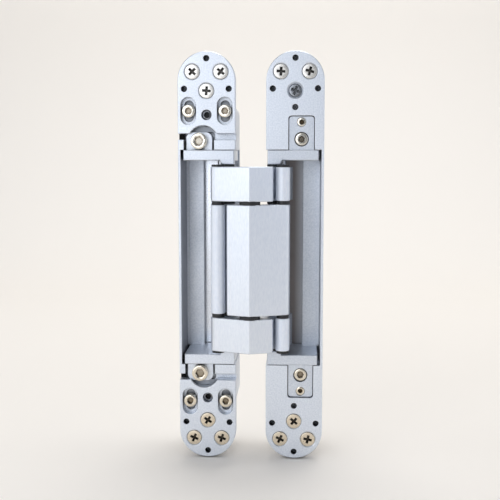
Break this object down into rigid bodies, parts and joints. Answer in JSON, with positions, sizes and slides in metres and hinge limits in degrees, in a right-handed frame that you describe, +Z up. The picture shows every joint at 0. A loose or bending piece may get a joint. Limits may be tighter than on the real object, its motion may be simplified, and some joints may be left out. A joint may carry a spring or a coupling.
{
  "type": "concealed door hinge",
  "caption": "Concealed door hinge opened flat: recessed housings with rounded ends, crossing arms on hidden pins, and height, side and depth adjustment.",
  "frame": {"origin": "the middle of the frame side's face, level with the face of the jamb", "axes": "+X from the frame side to the door side, +Y into the timber, +Z up along the pivots"},
  "size_m": [0.0708, 0.0448, 0.2],
  "materials": {
    "castings": "satin silver coating with a fine sparkle",
    "arms": "satin silver anodised",
    "screws": "bright nickel plate",
    "pins": "ground steel",
    "bearings": "black sliding plastic"
  },
  "bodies": {
    "frame_plates": {"frame_end_plate_top": "castings", "frame_end_plate_bottom": "castings", "frame_wood_screws": "screws", "frame_height_screws": "screws"},
    "frame_housing": {"frame_housing": "castings", "frame_plate_screws": "screws", "frame_clamp_screws": "screws"},
    "frame_carrier": {"frame_carrier": "castings", "frame_arm_pin": "pins", "frame_lever_pin": "pins", "frame_arm_spacers": "bearings", "frame_arm_washers": "bearings"},
    "middle_arm": {"middle_arm": "arms", "centre_pin": "pins", "door_link_pin": "pins", "door_link_washers": "bearings"},
    "outer_arm": {"outer_arm_top": "arms", "outer_arm_bottom": "arms", "frame_link_pin": "pins", "centre_washers": "bearings", "frame_link_washers": "bearings"},
    "frame_lever": {"frame_lever": "arms"},
    "door_lever": {"door_lever_top": "arms", "door_lever_bottom": "arms"},
    "door_carrier": {"door_carrier": "castings", "door_arm_pin": "pins", "door_lever_pin": "pins", "door_arm_spacer": "bearings", "door_arm_washers": "bearings", "door_clamp_screws": "screws", "door_set_screws": "screws"},
    "door_housing": {"door_housing": "castings", "door_wood_screws": "screws"}
  },
  "joints": [
    {"name": "height_adjustment", "type": "slide", "parent": "frame_plates", "child": "frame_housing", "axis": [0, 0, 1], "range_m": [-0.0025, 0.0025]},
    {"name": "side_adjustment", "type": "slide", "parent": "frame_housing", "child": "frame_carrier", "axis": [1, 0, 0], "range_m": [-0.001, 0.001]},
    {"name": "frame_arm_pivot", "type": "hinge", "parent": "frame_carrier", "child": "middle_arm", "pos_m": [0.0106, 0.0034, 0], "axis": [0, 0, -1], "range_deg": [0, 113.34]},
    {"name": "centre_pivot", "type": "hinge", "parent": "middle_arm", "child": "outer_arm", "pos_m": [0.0214, -0.008, 0], "axis": [0, 0, -1], "range_deg": [-46.73, 0]},
    {"name": "door_arm_pivot", "type": "hinge", "parent": "outer_arm", "child": "door_carrier", "pos_m": [0.0322, 0.0034, 0], "axis": [0, 0, -1], "range_deg": [0, 113.39]},
    {"name": "frame_link_pivot", "type": "hinge", "parent": "outer_arm", "child": "frame_lever", "pos_m": [0.0057, -0.0034, 0], "axis": [0, 0, -1], "range_deg": [0, 40.69]},
    {"name": "door_link_pivot", "type": "hinge", "parent": "middle_arm", "child": "door_lever", "pos_m": [0.0371, -0.0034, 0], "axis": [0, 0, -1], "range_deg": [-40.69, 0]},
    {"name": "depth_adjustment", "type": "slide", "parent": "door_carrier", "child": "door_housing", "axis": [0, 1, 0], "range_m": [-0.001, 0.001]}
  ],
  "couplings": [
    {"joint": "centre_pivot", "follows": "frame_arm_pivot", "ratio": -0.41184},
    {"joint": "door_arm_pivot", "follows": "frame_arm_pivot", "ratio": 1},
    {"joint": "frame_link_pivot", "follows": "frame_arm_pivot", "ratio": 0.35856},
    {"joint": "door_link_pivot", "follows": "frame_arm_pivot", "ratio": -0.35856}
  ]
}
